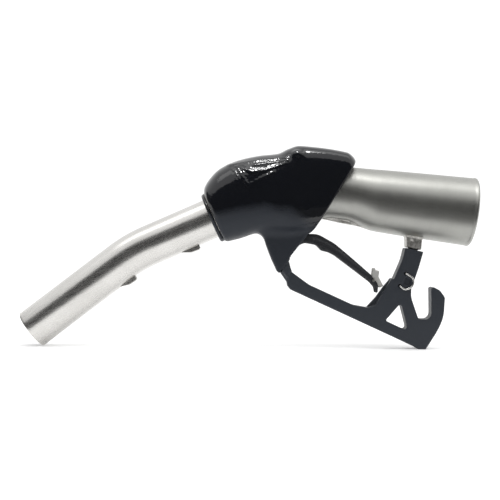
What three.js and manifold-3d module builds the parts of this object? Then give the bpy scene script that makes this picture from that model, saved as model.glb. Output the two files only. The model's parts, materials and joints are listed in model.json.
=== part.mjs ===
// Automatic shut-off fuel nozzle, high-flow size, resting on its spout tip and guard heel.
// Millimetres. +X runs from the spout tip to the hose inlet, +Z is up, Y is across the nozzle.
import * as THREE from "three";
import { mergeVertices } from "three/addons/utils/BufferGeometryUtils.js";
import Module from "manifold-3d";

const wasm = await Module();
wasm.setup();

// ---- Driving dimensions -------------------------------------------------------------------

const CENTRE_SHIFT = 0.8; // puts the middle of the overall length at X = 0
const GAP = 0.3; // running or assembly gap between two pieces
const ROUND = 24; // sides of a large turned piece
const SMALL = 12; // sides of a small turned piece
const ARC_STEP = Math.PI / 9; // most turn between two points of a rounded corner

// Each axis is a point on it (X, Z) and the angle of its direction above +X, in degrees.
const SPOUT_AXIS = { x: -36.4, z: 121.6, angle: 24 }; // at the nose lip, pointing into the body
const BARREL_AXIS = { x: 211.5, z: 129.85, angle: -6.6 }; // at the inlet face, pointing out of it
const VALVE_AXIS = { x: 51.4, z: 108.3, angle: 82 }; // at the stem's foot, pointing up
const LATCH_AXIS = { x: 33.4, z: 99.1, angle: 102.2 }; // at the lever pivot, pointing up

const SPOUT_R = 19.05; // 1-1/2 in tube
const SPOUT_WALL = 2;
const SPOUT_TIP = { x: -205.2, z: 15.1, angle: 37.6 };
const SPOUT_BEND_R = 130;
const SPOUT_SET_IN = 28; // how far the tube enters the nose
const VENT_R = 1.8;
const VENT_OFFSET = 14.6; // vent tube centre to spout centre

const INLET_R = 32.5;
const INLET_BORE_R = 24.2; // 1-1/2 in pipe thread, drawn as its major diameter
const INLET_THREAD_DEPTH = 26;
const BARREL_BORE_R = 21;

const BOOT_WALL = 3;
const CASTING_INSET = BOOT_WALL + GAP;
const NOSE_BORE_R = 22.2;
const CHEEK_IN = 9; // guard leg: inner face of each cheek
const CHEEK_OUT = 12.5;
const GUARD_HALF = 9.5;
const LEVER_HALF = 7.2;
const FORK_HALF = 5.2; // slot in the lever's tip
const RACK_HALF = 3;
const LEVER_PIN_R = 2;
const PIN_FIT = 0.15; // how much wider than its pin the lever's hole is, on the radius
const CLIP_HOLE_R = 1.4;
const SCREW_HOLE_R = 2.3; // guard screw
const REAR_HOLE_R = 1.8; // guard's rear pin
const CAP_HOLE_R = 1.9; // diaphragm cap screws
const CLIP_PIN = { x: 117.9, z: 64.4 };
const GUARD_SCREW = { x: 15.6, z: 116.9 };
const REAR_PIN = { x: 156, z: 89 };
const WIRE_ENDS = [[142.4, 59.7], [147.9, 71.4]]; // the retaining wire's two holes, [X, Z]
const WIRE_R = 0.95;
const WIRE_Y = -GUARD_HALF - WIRE_R - GAP;

// ---- Geometry helpers ---------------------------------------------------------------------

const radians = THREE.MathUtils.degToRad;

// A closed three.js geometry as a solid for joins and cuts.
function solid(geometry) {
  const bare = geometry.clone();
  bare.deleteAttribute("normal");
  bare.deleteAttribute("uv");
  const merged = mergeVertices(bare, 1e-4);
  return new wasm.Manifold(
    new wasm.Mesh({
      numProp: 3,
      vertProperties: merged.attributes.position.array,
      triVerts: new Uint32Array(merged.index.array),
    }),
  );
}

// A solid back as a three.js geometry.
function geometryOf(body) {
  const mesh = body.getMesh();
  const geometry = new THREE.BufferGeometry();
  geometry.setAttribute("position", new THREE.BufferAttribute(mesh.vertProperties, 3));
  geometry.setIndex(new THREE.BufferAttribute(mesh.triVerts, 1));
  geometry.computeVertexNormals();
  return geometry;
}

const join = (...geometries) =>
  geometryOf(geometries.map(solid).reduce((all, next) => all.add(next)));
const cut = (geometry, ...tools) =>
  geometryOf(tools.map(solid).reduce((left, tool) => left.subtract(tool), solid(geometry)));

// The matrix of an axis: local +X runs along it.
function axisMatrix({ x, z, angle }) {
  return new THREE.Matrix4()
    .makeTranslation(x, 0, z)
    .multiply(new THREE.Matrix4().makeRotationY(-radians(angle)));
}
const along = (axis, geometry) => geometry.clone().applyMatrix4(axisMatrix(axis));

// A solid of revolution about local X, from [axial, radius] points.
function turned(profile, sides = SMALL) {
  const points = profile.map(([axial, radius]) => new THREE.Vector2(radius, axial));
  return new THREE.LatheGeometry(points, sides).rotateZ(-Math.PI / 2);
}
const disc = (from, to, radius, sides) =>
  turned([[from, 0], [from, radius], [to, radius], [to, 0]], sides);
const ring = (from, to, outer, inner, sides) =>
  turned([[from, inner], [from, outer], [to, outer], [to, inner], [from, inner]], sides);

// The arc that rounds one corner of an outline, as points from edge to edge.
function roundedCorner(before, corner, after, radius) {
  const back = before.clone().sub(corner);
  const ahead = after.clone().sub(corner);
  const half = back.angleTo(ahead) / 2;
  const reach = Math.min(radius / Math.tan(half), 0.49 * back.length(), 0.49 * ahead.length());
  back.normalize();
  ahead.normalize();
  const middle = back.clone().add(ahead).normalize();
  const arcRadius = reach * Math.tan(half);
  const centre = corner.clone().addScaledVector(middle, arcRadius / Math.sin(half));
  const start = corner.clone().addScaledVector(back, reach).sub(centre);
  const turn = (Math.PI - 2 * half) * Math.sign(ahead.cross(back));
  const steps = Math.ceil(Math.abs(turn) / ARC_STEP);
  const origin = new THREE.Vector2();
  return Array.from({ length: steps + 1 }, (_, step) =>
    start.clone().rotateAround(origin, (turn * step) / steps).add(centre));
}

// A shape in the XZ plane from [x, z, corner radius] points.
function outline(corners) {
  const points = corners.map(([x, z]) => new THREE.Vector2(x, z));
  const rounded = corners.flatMap(([, , radius], i) =>
    radius
      ? roundedCorner(points.at(i - 1), points[i], points[(i + 1) % points.length], radius)
      : [points[i]]);
  return new THREE.Shape(rounded);
}

// A plate of an XZ shape, from y = low to y = high, with an optional edge chamfer.
function plate(shape, low, high, chamfer = 0) {
  const geometry = new THREE.ExtrudeGeometry(shape, {
    depth: high - low - 2 * chamfer,
    bevelEnabled: chamfer > 0,
    bevelThickness: chamfer,
    bevelSize: chamfer,
    bevelOffset: -chamfer,
    bevelSegments: 1,
  });
  return geometry.rotateX(Math.PI / 2).translate(0, high - chamfer, 0);
}
const slab = (corners, half, chamfer) => plate(outline(corners), -half, half, chamfer);

// A cross pin or hole along Y.
function crossPin(x, z, radius, low, high, sides = SMALL) {
  const geometry = new THREE.CylinderGeometry(radius, radius, high - low, sides);
  return geometry.translate(x, (low + high) / 2, 0).translate(0, 0, z);
}

// A closed skin over rings of points that all have the same count.
function lofted(rings) {
  const sides = rings[0].length;
  const points = rings.flat();
  const faces = [];
  for (let r = 0; r < rings.length - 1; r++) {
    for (let i = 0; i < sides; i++) {
      const next = (i + 1) % sides;
      const a = r * sides + i;
      const b = r * sides + next;
      faces.push(a, a + sides, b, b, a + sides, b + sides);
    }
  }
  const last = (rings.length - 1) * sides;
  for (let i = 1; i < sides - 1; i++) {
    faces.push(0, i, i + 1);
    faces.push(last, last + i + 1, last + i);
  }
  const geometry = new THREE.BufferGeometry().setFromPoints(points);
  geometry.setIndex(faces);
  return geometry;
}

// A round bar along a curve.
function bar(curve, radius, steps, sides = 8) {
  const section = new THREE.Shape().absarc(0, 0, radius, 0, 2 * Math.PI);
  return new THREE.ExtrudeGeometry(section, {
    extrudePath: curve,
    steps,
    curveSegments: sides / 2,
  });
}

class Helix extends THREE.Curve {
  constructor(radius, from, to, turns) {
    super();
    Object.assign(this, { radius, from, to, turns });
  }
  getPoint(t, target = new THREE.Vector3()) {
    const turn = 2 * Math.PI * this.turns * t;
    const across = this.radius * Math.cos(turn);
    const up = this.radius * Math.sin(turn);
    return target.set(THREE.MathUtils.lerp(this.from, this.to, t), across, up);
  }
}
// A compression spring about local X, its wire ends inside the two given faces.
function spring(from, to, radius, wire, turns) {
  const coil = new Helix(radius, from + wire, to - wire, turns);
  return bar(coil, wire, turns * 8, 6);
}

// ---- Spout path ---------------------------------------------------------------------------

const tangentOf = (angle) => new THREE.Vector3(Math.cos(radians(angle)), 0, Math.sin(radians(angle)));

// The spout's centre line, straight, bent and straight. `drop` moves it towards the belly of
// the spout and `side` across it; `start` and `end` trim it from the tip and from the root.
class SpoutLine extends THREE.Curve {
  constructor({ drop = 0, side = 0, start = 0, end = SPOUT_SET_IN, bendSteps = 6 }) {
    super();
    const tipDirection = tangentOf(SPOUT_TIP.angle);
    const rootDirection = tangentOf(SPOUT_AXIS.angle);
    const tip = new THREE.Vector3(SPOUT_TIP.x, 0, SPOUT_TIP.z);
    const root = new THREE.Vector3(SPOUT_AXIS.x, 0, SPOUT_AXIS.z);
    const apart = root.clone().sub(tip);
    const turn = radians(SPOUT_TIP.angle - SPOUT_AXIS.angle);
    const across = apart.x * rootDirection.z - apart.z * rootDirection.x;
    const reach = -across / Math.sin(turn);
    const corner = tip.clone().addScaledVector(tipDirection, reach);
    this.radius = SPOUT_BEND_R - drop;
    const tangent = SPOUT_BEND_R * Math.tan(turn / 2);
    this.centre = corner.clone().addScaledVector(tipDirection, -tangent);
    this.centre.add(new THREE.Vector3(tipDirection.z, 0, -tipDirection.x).multiplyScalar(SPOUT_BEND_R));
    this.side = side;
    this.turn = turn;
    this.tipDirection = tipDirection;
    this.rootDirection = rootDirection;
    this.tipLength = reach - tangent - start;
    this.rootLength = root.distanceTo(corner) - tangent + end;
    this.bendSteps = bendSteps;
  }
  // Step 0 to 1 is the tip's straight, the next bendSteps are the bend, the last is the root's.
  getPoint(t, target = new THREE.Vector3()) {
    const step = t * (this.bendSteps + 2);
    const bend = THREE.MathUtils.clamp((step - 1) / this.bendSteps, 0, 1);
    const angle = radians(SPOUT_TIP.angle + 90) - bend * this.turn;
    target.set(Math.cos(angle), 0, Math.sin(angle)).multiplyScalar(this.radius).add(this.centre);
    if (step < 1) target.addScaledVector(this.tipDirection, -(1 - step) * this.tipLength);
    const past = step - 1 - this.bendSteps;
    if (past > 0) target.addScaledVector(this.rootDirection, past * this.rootLength);
    target.y = this.side;
    return target;
  }
  getPointAt(t, target) {
    return this.getPoint(t, target);
  }
  getTangentAt(t, target = new THREE.Vector3()) {
    const step = t * (this.bendSteps + 2);
    const bend = THREE.MathUtils.clamp((step - 1) / this.bendSteps, 0, 1);
    return target.copy(tangentOf(SPOUT_TIP.angle - (bend * this.turn * 180) / Math.PI));
  }
}

// ---- Materials ----------------------------------------------------------------------------

const finish = (color, roughness, metalness) =>
  new THREE.MeshStandardMaterial({ color, roughness, metalness });
const ALUMINIUM = finish(0xb9b8b4, 0.38, 1);
const CAST_ALUMINIUM = finish(0xa9a8a2, 0.5, 1);
const BLACK_VINYL = finish(0x0d0f12, 0.16, 0);
const BLACK_COATING = finish(0x212329, 0.45, 0.1);
const STEEL = finish(0x8f8d88, 0.35, 1);
const BRASS = finish(0xb08d45, 0.4, 1);
const RUBBER = finish(0x1b1b1c, 0.8, 0);

const nozzle = new THREE.Group();
nozzle.position.x = CENTRE_SHIFT;
function add(parent, name, geometry, material) {
  const mesh = new THREE.Mesh(geometry, material);
  mesh.name = name;
  parent.add(mesh);
}
function axisGroup({ x, z, angle }) {
  const group = new THREE.Group();
  group.position.set(x, 0, z);
  group.rotation.y = -radians(angle);
  nozzle.add(group);
  return group;
}

// ---- Boot and casting outer form ----------------------------------------------------------

// Upright sections of the boot: X, lowest Z, highest Z, half width, squareness of the section.
const BOOT_SECTIONS = [
  [-52, 99.0, 128.0, 15, 2.0],
  [-46, 99.0, 143.5, 23, 2.1],
  [-39, 99.5, 157.5, 27.5, 2.2],
  [-28, 99.2, 168.9, 30.5, 2.4],
  [-11, 102.4, 176.8, 33, 2.6],
  [10, 108.5, 181.4, 34, 2.9],
  [26, 109.0, 183.2, 34, 3.0],
  [36, 109.5, 187.5, 33.5, 3.6],
  [46, 111.0, 190.4, 32.5, 4.2],
  [58, 114.0, 189.6, 31.5, 4.4],
  [91, 120.0, 184.9, 28, 4.2],
  [97, 122.0, 181.5, 27, 3.2],
  [103, 128.0, 172.0, 22, 2.4],
];
const SECTION_SIDES = 20;

function bootForm(inset) {
  const rings = BOOT_SECTIONS.map(([x, low, high, half, squareness], index) => {
    const end = index === 0 || index === BOOT_SECTIONS.length - 1;
    const width = half - inset;
    const height = (high - low) / 2 - inset;
    const ringPoints = [];
    for (let i = 0; i < SECTION_SIDES; i++) {
      const angle = (2 * Math.PI * i) / SECTION_SIDES;
      const power = 2 / squareness;
      const y = -width * Math.sign(Math.cos(angle)) * Math.abs(Math.cos(angle)) ** power;
      const z = height * Math.sign(Math.sin(angle)) * Math.abs(Math.sin(angle)) ** power;
      const shift = end ? Math.sign(x) * -inset : 0;
      ringPoints.push(new THREE.Vector3(x + shift, y, z + (low + high) / 2));
    }
    return ringPoints;
  });
  return lofted(rings);
}

// Everything in front of the nose lip, moved `depth` into the body.
const beyondNose = (depth) =>
  along(SPOUT_AXIS, new THREE.BoxGeometry(80, 120, 160).translate(depth - 40, 0, 0));
// Everything behind the boot's slanting rear edge, moved `depth` into the body.
const REAR_EDGE = { x: 67.9, z: 122.5, angle: -31 };
const beyondRear = (depth) =>
  along(REAR_EDGE, new THREE.BoxGeometry(80, 120, 200).translate(40 - depth, 0, 0));

// The room that the lever and the guard's channel need below the body.
const LEVER_ROOM = [
  [20, 60], [90, 60], [95, 119.2], [60, 119.6], [42, 113.5], [24, 109.5],
];

// ---- Body casting -------------------------------------------------------------------------

// Round sections of the barrel from the inlet face: axial place, then how far it reaches
// above and below its axis. Only its underside narrows to the neck, its top runs on straight.
const BARREL_SECTIONS = [
  [0, INLET_R - 0.8, INLET_R - 0.8], [-0.7, INLET_R, INLET_R], [-2.4, INLET_R, INLET_R],
  [-2.8, INLET_R - 0.3, INLET_R - 0.3], [-91.7, 29.2, 29.4], [-97, 28.9, 28.4],
  [-103, 28.7, 26.6], [-110, 28.5, 24.2], [-117, 28.3, 22.6], [-132, 28, 22.2],
  [-146, 27.6, 25],
];

function barrelOutside() {
  const rings = BARREL_SECTIONS.map(([axial, above, below]) => {
    const radius = (above + below) / 2;
    const rise = (above - below) / 2;
    return Array.from({ length: ROUND }, (_, side) => {
      const turn = (2 * Math.PI * side) / ROUND;
      return new THREE.Vector3(axial, -radius * Math.sin(turn), rise + radius * Math.cos(turn));
    });
  });
  return along(BARREL_AXIS, lofted(rings));
}

function neckRib() {
  return slab([
    [62, 124], [86.4, 118.6], [96, 116.9], [105.6, 115.4], [114, 113.3], [118, 130], [62, 140],
  ], 3.5);
}

// The lug under the barrel that the guard's rear post hangs on.
function guardLug() {
  const post = slab([[148.6, 96.3], [162.6, 93.6], [164.2, 108], [148.2, 108]], 7.6, 0.8);
  const tongue = slab([[152.2, 84.2], [158.4, 84.2], [160.8, 98], [151.6, 98]], 3);
  return join(post, tongue);
}

function fuelWays() {
  const barrelBore = along(BARREL_AXIS, turned([
    [1, 0], [1, INLET_BORE_R + 1.6], [-1.2, INLET_BORE_R], [-INLET_THREAD_DEPTH, INLET_BORE_R],
    [-INLET_THREAD_DEPTH, BARREL_BORE_R], [-104, BARREL_BORE_R], [-112, 15], [-112, 0],
  ].reverse(), ROUND));
  const neckBore = along({ x: 58.4, z: 157.7, angle: -16.5 }, disc(-2, 58, 13.5, 24));
  const valveWay = along(VALVE_AXIS, turned([
    [5, 0], [5, 7.8], [16.8, 7.8], [16.8, 6.2], [20.9, 6.2], [20.9, 3.4], [23.5, 3.4],
    [23.5, 13], [33, 13], [33, 18.5], [67.2, 18.5], [67.2, 20.9], [95, 20.9], [95, 0],
  ], ROUND));
  const spoutWay = along(SPOUT_AXIS, turned([
    [0, 0], [0, NOSE_BORE_R], [30, NOSE_BORE_R], [30, 17.6], [34.5, 17.6], [34.5, 13],
    [44, 13], [44, 0],
  ], ROUND));
  const chamber = cut(
    slab([
      [-4, 123], [8, 123.4], [30, 124.4], [58, 126.6], [58, 133], [38, 133], [30, 145], [8, 149], [-4, 146],
    ], 19),
    along(LATCH_AXIS, disc(0, 70, 10.2, 20)),
  );
  return [barrelBore, neckBore, valveWay, spoutWay, chamber];
}

function latchWay() {
  return along(LATCH_AXIS, turned([
    [0, 0], [0, 6.9], [56, 6.9], [56, 15], [64, 15], [64, 22.6], [110, 22.6], [110, 0],
  ], ROUND));
}

const CAP_SCREWS = [45, 135, 225, 315];
const CAP_SCREW_CIRCLE = 18.6;
// The given piece of a cap screw or its hole, turned to its place round the latch axis.
const atCapScrew = (angle, geometry) =>
  geometry.clone().translate(0, CAP_SCREW_CIRCLE, 0).rotateX(radians(angle));

function screwHoles() {
  const capHoles = CAP_SCREWS.map((angle) =>
    along(LATCH_AXIS, atCapScrew(angle, disc(53, 65, CAP_HOLE_R, 8))));
  const spoutScrew = along(SPOUT_AXIS, disc(20, 60, 2.8, 12).rotateY(-Math.PI / 2).translate(11, 0, 0));
  const guardScrew = crossPin(GUARD_SCREW.x, GUARD_SCREW.z, SCREW_HOLE_R, -40, 40);
  const headRoom = join(
    crossPin(GUARD_SCREW.x, GUARD_SCREW.z, 4.4, -40, -CHEEK_OUT),
    crossPin(GUARD_SCREW.x, GUARD_SCREW.z, 4.4, CHEEK_OUT, 40),
  );
  const rearPin = crossPin(REAR_PIN.x, REAR_PIN.z, REAR_HOLE_R, -20, 20);
  return [...capHoles, spoutScrew, guardScrew, headRoom, rearPin];
}

// Slots on each side of the latch column for the guard's two cheeks.
function cheekSlots() {
  const shape = [[9.5, 60], [72, 60], [72, 120.8], [9.5, 120.8]];
  const near = plate(outline(shape), -CHEEK_OUT - GAP, -CHEEK_IN + GAP);
  const far = plate(outline(shape), CHEEK_IN - GAP, CHEEK_OUT + GAP);
  return [near, far];
}

function bodyCasting() {
  const front = cut(bootForm(CASTING_INSET), beyondNose(3.6), beyondRear(1.2));
  const outside = join(front, barrelOutside(), neckRib(), guardLug());
  const leverRoom = slab(LEVER_ROOM, CHEEK_IN - GAP);
  return cut(outside, ...fuelWays(), latchWay(), ...screwHoles(), ...cheekSlots(), leverRoom);
}

// ---- Scuff boot ---------------------------------------------------------------------------

const SKIRT_HALF = 15;
function scuffBoot() {
  const skirt = slab([
    [12.2, 118], [12.6, 109], [16.1, 97.1, 20], [21.3, 83.8, 20], [26.6, 72.4], [28.8, 70.6],
    [38.3, 82.1], [39.6, 86.6, 6], [68.2, 123], [62, 140], [20, 140],
  ], SKIRT_HALF, 1.2);
  const trimmed = cut(bootForm(0), beyondNose(0), beyondRear(0));
  const lip = along(SPOUT_AXIS, turned([
    [0, 0], [0, 22.6], [1.2, 23.6], [3.4, 23.6], [8, 20], [8, 0],
  ], ROUND));
  const outside = join(trimmed, cut(skirt, beyondRear(0)), lip);
  const inside = cut(bootForm(BOOT_WALL), beyondNose(3.3));
  const legRoom = slab([
    [8.8, 125], [9.4, 113], [15.2, 112], [15.8, 109], [18.3, 97.6], [23.4, 84.8],
    [29.2, 71.9], [40, 60], [41.5, 75], [38, 84.2], [63.5, 117], [66, 125],
  ], CHEEK_OUT + GAP);
  const spoutRoom = along(SPOUT_AXIS, disc(-5, 20, SPOUT_R + 0.35, ROUND));
  const leverRoom = slab([...LEVER_ROOM.slice(1, 4), [46, 114], [36, 84], [40, 60]], CHEEK_IN - GAP);
  return cut(outside, inside, legRoom, spoutRoom, leverRoom, ribRoom());
}
function ribRoom() {
  return slab([[60, 123], [90, 116], [90, 140], [60, 140]], 3.9);
}

// ---- Spout assembly -----------------------------------------------------------------------

function spoutTube() {
  const section = new THREE.Shape().absarc(0, 0, SPOUT_R, 0, 2 * Math.PI);
  section.holes.push(new THREE.Path().absarc(0, 0, SPOUT_R - SPOUT_WALL, 0, 2 * Math.PI));
  const line = new SpoutLine({});
  const tube = new THREE.ExtrudeGeometry(section, {
    extrudePath: line,
    steps: line.bendSteps + 2,
    curveSegments: ROUND / 2,
  });
  const ventHole = along({ ...SPOUT_TIP }, ventDirection(disc(8, 30, 1.2, 10)).translate(26, 0, 0));
  return cut(tube, ventHole);
}

// Turns a piece that lies along X so that it points to the near lower side of the spout.
const ventDirection = (geometry) => geometry.rotateZ(-Math.PI / 2).rotateX(Math.PI / 4);

function ventTube() {
  const offset = VENT_OFFSET * Math.SQRT1_2;
  const line = new SpoutLine({ drop: offset, side: -offset, start: 22, end: 22 });
  const outside = bar(line, VENT_R, line.bendSteps + 2, 10);
  const inside = bar(
    new SpoutLine({ drop: offset, side: -offset, start: 21, end: 23 }), 1, line.bendSteps + 2, 8);
  return cut(outside, inside);
}

// A welded catch lug: a ramp towards the tip, a blunt end towards the body.
function catchLug(length, height) {
  return slab([
    [0, 3], [length, 3], [length, -height + 1.2], [length - 1.5, -height], [length * 0.6, -height + 0.4, 4],
  ].reverse(), 5, 0.6);
}
function lugOnSpout(distance, length, height) {
  const lug = catchLug(length, height).translate(distance, 0, -SPOUT_R);
  return cut(lug, disc(distance - 10, distance + length + 10, SPOUT_R + 0.15, 40));
}

function checkValveGuide() {
  const rim = ring(12, 16, 16.7, 15, 24);
  const hub = ring(12, 16, 4.6, 2.6, SMALL);
  const arms = [90, 210, 330].map((angle) =>
    new THREE.BoxGeometry(3.6, 11.6, 2.4).translate(14, 9.9, 0).rotateX(radians(angle)));
  const offset = VENT_OFFSET * Math.SQRT1_2;
  const notch = disc(10, 18, VENT_R + 0.4, 10).translate(0, -offset, -offset);
  return cut(join(rim, hub, ...arms), notch);
}

function addSpout() {
  const group = axisGroup(SPOUT_AXIS);
  add(nozzle, "spout_tube", spoutTube(), ALUMINIUM);
  add(nozzle, "vent_tube", ventTube(), STEEL);
  const bushing = turned([
    [3.9, 19.4], [3.9, 21.9], [17.8, 21.9], [17.8, 20.4], [21.4, 20.4], [21.4, 21.9], [29.7, 21.9],
    [29.7, 16.8], [28.3, 16.8], [28.3, 19.4], [3.9, 19.4],
  ], ROUND);
  const screwHole = disc(18, 26, 2.8, 12).rotateY(-Math.PI / 2).translate(11, 0, 0);
  add(group, "spout_bushing", cut(bushing, screwHole), BRASS);
  const oring = new THREE.TorusGeometry(21.3, 0.75, 6, ROUND).rotateY(Math.PI / 2).translate(19.6, 0, 0);
  add(group, "spout_oring", oring, RUBBER);
  const screw = disc(19.4, 24.2, 2.5, 12).rotateY(-Math.PI / 2).translate(11, 0, 0);
  add(group, "spout_screw", screw, STEEL);
  add(group, "check_valve_seat", turned([
    [30.2, 12.6], [30.2, 17.3], [34.2, 17.3], [34.2, 10.4], [31.6, 10.4], [30.2, 12.6],
  ], 28), BRASS);
  add(group, "check_valve_poppet", turned([
    [6, 0], [6, 2.2], [26, 2.2], [26, 11.2], [28.2, 12.2], [29.8, 12.2], [31.2, 10], [31.2, 0],
  ], 24), BRASS);
  add(group, "check_valve_guide", checkValveGuide(), BRASS);
  add(group, "check_valve_spring", spring(16.2, 25.8, 5.6, 0.6, 4), STEEL);
  const tipGroup = axisGroup(SPOUT_TIP);
  add(tipGroup, "catch_lug_front", lugOnSpout(86, 23, 3.6), STEEL);
  add(group, "catch_lug_rear", lugOnSpout(-44, 24, 3.6), STEEL);
}

// ---- Main valve ---------------------------------------------------------------------------

function addMainValve() {
  const group = axisGroup(VALVE_AXIS);
  add(group, "valve_stem", turned([[0, 0], [0, 2.2], [0.8, 3], [60, 3], [60, 0]], SMALL), STEEL);
  add(group, "packing_nut", cut(disc(11.5, 16.5, 7.5, 6), disc(11, 17, 3.3)), BRASS);
  add(group, "stem_packing", ring(17.1, 20.6, 5.9, 3.05, SMALL), RUBBER);
  add(group, "valve_seat_ring", ring(33.3, 37, 18.2, 12.6, 32), BRASS);
  add(group, "valve_seal", ring(37.3, 39.3, 15.4, 3.3, 28), RUBBER);
  add(group, "valve_disc", ring(39.6, 43.4, 16, 3.3, 28), BRASS);
  add(group, "valve_disc_nut", cut(disc(43.7, 47, 5.8, 6), disc(43, 48, 3.3)), STEEL);
  add(group, "valve_spring", spring(43.6, 63.8, 11, 1.2, 4), STEEL);
  add(group, "valve_cap", turned([
    [56, 3.4], [56, 6], [64, 6], [64, 18.1], [67.5, 18.1], [67.5, 20.5], [72, 20.5], [73, 19.5],
    [73, 0], [69.6, 0], [69.6, 3.4], [56, 3.4],
  ], ROUND), ALUMINIUM);
}

// ---- Shut-off latch -----------------------------------------------------------------------

const LATCH_BALLS = [60, 180, 300];
const BALL_HEIGHT = 46;
const BALL_CIRCLE = 4.75;

function latchPlunger() {
  const shank = turned([
    [-6.5, 0], [-6.5, 5.4], [-5.3, 6.6], [53, 6.6], [53, 3], [35, 3], [35, 0],
  ], 20);
  const flats = [-1, 1].map((side) =>
    new THREE.BoxGeometry(18, 6, 20).translate(0, side * 6.2, 0));
  const windows = LATCH_BALLS.map((angle) =>
    disc(1, 10, 1.9, 10).rotateZ(Math.PI / 2).translate(BALL_HEIGHT, 0, 0).rotateX(radians(angle)));
  const pinHole = new THREE.CylinderGeometry(LEVER_PIN_R + PIN_FIT, LEVER_PIN_R + PIN_FIT, 20, SMALL);
  return cut(shank, ...flats, ...windows, pinHole);
}

function diaphragm() {
  const rubber = turned([
    [64.3, 2.9], [64.3, 22.2], [65.8, 22.2], [65.8, 15], [66.5, 14], [65.8, 13], [65.8, 2.9],
    [64.3, 2.9],
  ], ROUND);
  return cut(rubber, ...CAP_SCREWS.map((angle) => atCapScrew(angle, disc(60, 70, CAP_HOLE_R, 8))));
}

function addLatch() {
  const group = axisGroup(LATCH_AXIS);
  add(group, "latch_plunger", latchPlunger(), STEEL);
  LATCH_BALLS.forEach((angle, i) => {
    const ball = new THREE.SphereGeometry(1.6, 10, 8).translate(BALL_HEIGHT, BALL_CIRCLE, 0);
    add(group, `latch_ball_${i + 1}`, ball.rotateX(radians(angle)), STEEL);
  });
  add(group, "latch_pin", turned([
    [41, 0], [41, 1.6], [43, 2.6], [66.1, 2.6], [66.1, 11.6], [67.1, 11.6], [67.1, 0],
  ], 20), STEEL);
  add(group, "diaphragm", diaphragm(), RUBBER);
  add(group, "diaphragm_spring", spring(67.2, 73, 8, 0.6, 3), STEEL);
  const cap = turned([
    [66.1, 15.2], [66.1, 22.2], [74.2, 22.2], [75.4, 21], [75.4, 0], [73.2, 0], [73.2, 12.6],
    [68.4, 15.2], [66.1, 15.2],
  ], ROUND);
  const capHoles = CAP_SCREWS.map((angle) => atCapScrew(angle, disc(60, 80, CAP_HOLE_R, 8)));
  add(group, "diaphragm_cap", cut(cap, ...capHoles), ALUMINIUM);
  CAP_SCREWS.forEach((angle, i) => {
    const screw = turned([[55, 0], [55, 1.5], [75.7, 1.5], [75.7, 2.8], [77.3, 2.8], [77.3, 0]], 8);
    add(group, `cap_screw_${i + 1}`, atCapScrew(angle, screw), STEEL);
  });
}

// ---- Lever and hold-open clip -------------------------------------------------------------

function lever() {
  const arm = slab([
    [27.2, 93, 5], [40, 93.2, 8], [52.4, 99.4, 8], [63.4, 97.5, 6], [68.4, 92.2, 4], [75.2, 90.6, 8],
    [81, 87.7, 12], [114.4, 62.8, 5], [118.7, 58, 4], [119.7, 52.2, 1], [122.2, 53.2, 1.5],
    [122.6, 61, 5], [115.3, 70.2, 20], [92.3, 89.7, 40], [80.9, 99.1, 30], [65, 107.9, 16],
    [47.8, 107.9, 1.5], [45, 105.2, 2], [27.2, 105.2, 5],
  ], LEVER_HALF, 0.9);
  const frontFork = new THREE.BoxGeometry(40, 7, 40).translate(21.4, 0, 99);
  const tipFork = new THREE.BoxGeometry(30, 2 * FORK_HALF, 40).translate(123, 0, 62);
  const pivotHole = crossPin(LATCH_AXIS.x, LATCH_AXIS.z, LEVER_PIN_R + PIN_FIT, -20, 20);
  const clipHole = crossPin(CLIP_PIN.x, CLIP_PIN.z, CLIP_HOLE_R, -20, 20, 12);
  return cut(arm, frontFork, tipFork, pivotHole, clipHole);
}

function holdOpenClip() {
  const side = outline([
    [124.1, 57.4], [127.4, 59.4], [122.9, 68], [123.6, 73, 0.8], [121.6, 74.4, 0.8], [120.4, 71.8, 0.8],
    [119.6, 76.4, 0.8], [117.4, 76, 0.8], [116.7, 69.5, 1], [115.8, 66, 1], [116.4, 62.2, 1],
    [119.6, 62, 1],
  ]);
  const near = plate(side, -4.8, -3.4);
  const far = plate(side, 3.4, 4.8);
  const bridge = slab([[117.2, 68.2], [122.2, 68.2], [122.4, 70.2], [117.4, 70.2]], 4);
  const hole = crossPin(CLIP_PIN.x, CLIP_PIN.z, CLIP_HOLE_R, -20, 20, 12);
  return cut(join(near, far, bridge), hole);
}

function addLever() {
  add(nozzle, "lever", lever(), BLACK_COATING);
  const reach = LEVER_HALF + 0.6;
  add(nozzle, "lever_pin", crossPin(LATCH_AXIS.x, LATCH_AXIS.z, LEVER_PIN_R, -reach, reach), STEEL);
  add(nozzle, "hold_open_clip", holdOpenClip(), STEEL);
  add(nozzle, "clip_pin", crossPin(CLIP_PIN.x, CLIP_PIN.z, 1.25, -reach, reach, 12), STEEL);
  const coil = spring(-2.6, 2.6, 2.2, 0.4, 4).rotateZ(Math.PI / 2);
  add(nozzle, "clip_spring", coil.translate(CLIP_PIN.x, 0, CLIP_PIN.z), STEEL);
}

// ---- Lever guard --------------------------------------------------------------------------

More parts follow.
